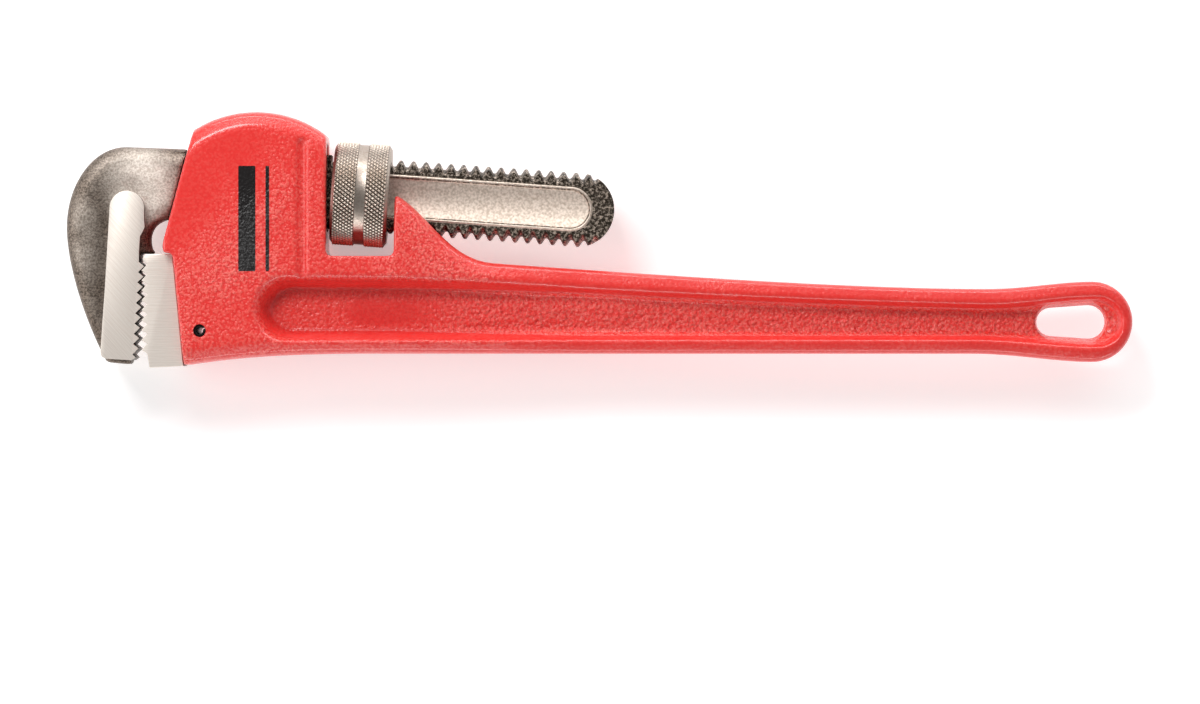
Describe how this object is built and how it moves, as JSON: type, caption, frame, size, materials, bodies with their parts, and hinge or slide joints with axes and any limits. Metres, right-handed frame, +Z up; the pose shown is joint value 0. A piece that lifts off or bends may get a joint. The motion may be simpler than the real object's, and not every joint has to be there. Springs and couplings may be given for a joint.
{
  "type": "pipe wrench",
  "caption": "Straight heavy-duty pipe wrench with a one-piece enamelled handle, a sprung hook jaw on a threaded shank, a knurled adjusting nut and a pinned heel jaw.",
  "frame": {"origin": "under the middle of the wrench as it lies on its side with its jaws closed, on the surface it lies on", "axes": "+X along the handle towards the hanging eye, +Y towards the housing's dome and the hook's back, +Z up through the wrench's thickness"},
  "size_m": [0.35, 0.0838, 0.034],
  "materials": {
    "handle_enamel": "glossy red enamel on a cast body, pebbled in the recesses",
    "ground_steel": "surface-ground, fine straight grinding lines",
    "forged_steel": "rough forged with a ground jaw block and shank panel",
    "nut_steel": "turned and diamond-knurled, satin",
    "black_spring_steel": "oil-blackened spring steel"
  },
  "bodies": {
    "handle_body": {"handle": "handle_enamel", "heel_jaw": "ground_steel", "heel_jaw_pin": "black_spring_steel", "coil_spring": "black_spring_steel"},
    "spring_leaf": {"flat_spring": "black_spring_steel", "spring_rivet": "nut_steel"},
    "hook": {"hook_jaw": "forged_steel"},
    "nut": {"adjusting_nut": "nut_steel"}
  },
  "joints": [
    {"name": "jaw_rock", "type": "hinge", "parent": "handle_body", "child": "spring_leaf", "pos_m": [-0.0782, 0.015, 0.017], "axis": [0, 0, 1], "range_deg": [-1.3, 0], "stiffness_Nm_per_rad": 20, "springref_deg": 1.72, "deforming": ["coil_spring"]},
    {"name": "jaw_slide", "type": "slide", "parent": "spring_leaf", "child": "hook", "axis": [-0.9976, 0.0698, 0], "range_m": [0, 0.058]},
    {"name": "nut_turn", "type": "hinge", "parent": "spring_leaf", "child": "nut", "pos_m": [-0.0782, 0.015, 0.017], "axis": [0.9976, -0.0698, 0], "range_deg": [0, 5080]}
  ],
  "couplings": [
    {"joint": "nut_turn", "follows": "jaw_slide", "rad_per_m": 1525}
  ]
}
